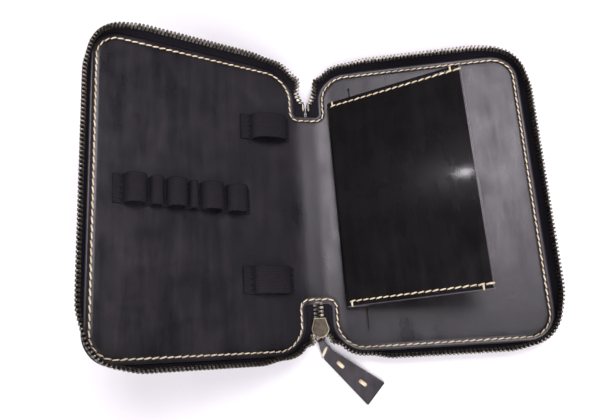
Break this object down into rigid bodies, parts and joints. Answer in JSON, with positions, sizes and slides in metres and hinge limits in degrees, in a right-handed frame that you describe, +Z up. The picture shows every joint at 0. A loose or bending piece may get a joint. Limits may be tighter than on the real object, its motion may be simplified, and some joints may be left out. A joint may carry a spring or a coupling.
{
  "type": "zip-round pen case",
  "caption": "Zip-round leather pen case lying open, with elastic pen loops and straps on the front half and a slip-in notebook cover on the back half.",
  "frame": {"origin": "middle of the back half's flat underside", "axes": "+X across the open case from the front half to the back half, +Y to the top of the case, +Z up from the table"},
  "size_m": [0.2813, 0.2442, 0.1163],
  "materials": {
    "cover_leather": "black-brown, waxed, dull",
    "lining_leather": "dark grey-brown, burnished",
    "insert_leather": "near black, glazed",
    "zip_tape": "woven, navy black",
    "zip_metal": "antique brass",
    "waxed_thread": "cream, waxed",
    "elastic": "woven, black",
    "dark_thread": "black"
  },
  "bodies": {
    "back_half": {"outer_leather_back": "cover_leather", "lining_back": "lining_leather", "zip_tape_back": "zip_tape", "zip_teeth_back": "zip_metal", "seam_thread_back": "waxed_thread", "notebook_back_leaf": "insert_leather"},
    "spine": {"outer_leather_spine": "cover_leather", "lining_spine": "lining_leather", "seam_thread_spine": "waxed_thread", "notch_tapes": "zip_tape", "closed_teeth": "zip_metal", "bottom_stop": "zip_metal", "top_stops": "zip_metal"},
    "front_half": {"outer_leather_front": "cover_leather", "lining_front": "lining_leather", "zip_tape_front": "zip_tape", "zip_teeth_front": "zip_metal", "seam_thread_front": "waxed_thread", "pen_loop_band": "elastic", "pen_loop_tacks": "dark_thread", "upper_strap": "elastic", "upper_strap_tacks": "dark_thread", "lower_strap": "elastic", "lower_strap_tacks": "dark_thread"},
    "slider": {"slider_body": "zip_metal"},
    "ring": {"pull_ring": "zip_metal"},
    "puller": {"puller_strap": "cover_leather", "puller_thread": "waxed_thread"},
    "notebook_fold": {"notebook_fold": "insert_leather"},
    "notebook_leaf": {"notebook_front_leaf": "insert_leather", "notebook_pocket": "insert_leather", "notebook_thread": "waxed_thread"}
  },
  "joints": [
    {"name": "back_fold", "type": "hinge", "parent": "back_half", "child": "spine", "pos_m": [-0.07095, 0, 0.0046], "axis": [0, 1, 0], "range_deg": [-20.4, 69.6]},
    {"name": "front_fold", "type": "hinge", "parent": "spine", "child": "front_half", "pos_m": [-0.09251, 0, 0.01262], "axis": [0, 1, 0], "range_deg": [-20.4, 69.6]},
    {"name": "slider_travel", "type": "slide", "parent": "spine", "child": "slider", "axis": [0, 1, 0], "range_m": [-0.0012, 0.005]},
    {"name": "ring_flip", "type": "hinge", "parent": "slider", "child": "ring", "pos_m": [-0.08338, -0.08673, 0.00416], "axis": [0.9373, 0, -0.3486], "range_deg": [0, 125]},
    {"name": "puller_turn", "type": "hinge", "parent": "ring", "child": "puller", "pos_m": [-0.08254, -0.0898, 0.00384], "axis": [0.3486, 0, 0.9373], "range_deg": [-30, 2]},
    {"name": "notebook_press", "type": "hinge", "parent": "back_half", "child": "notebook_fold", "pos_m": [-0.05865, 0, 0.0061], "axis": [0, 1, 0], "range_deg": [-6.5, 21.4]},
    {"name": "leaf_open", "type": "hinge", "parent": "notebook_fold", "child": "notebook_leaf", "pos_m": [-0.06296, 0.0023, 0.01149], "axis": [-0.0227, 0.9997, 0], "range_deg": [-115, 0]}
  ],
  "couplings": [
    {"joint": "notebook_press", "follows": "front_fold", "ratio": 0.3017}
  ]
}
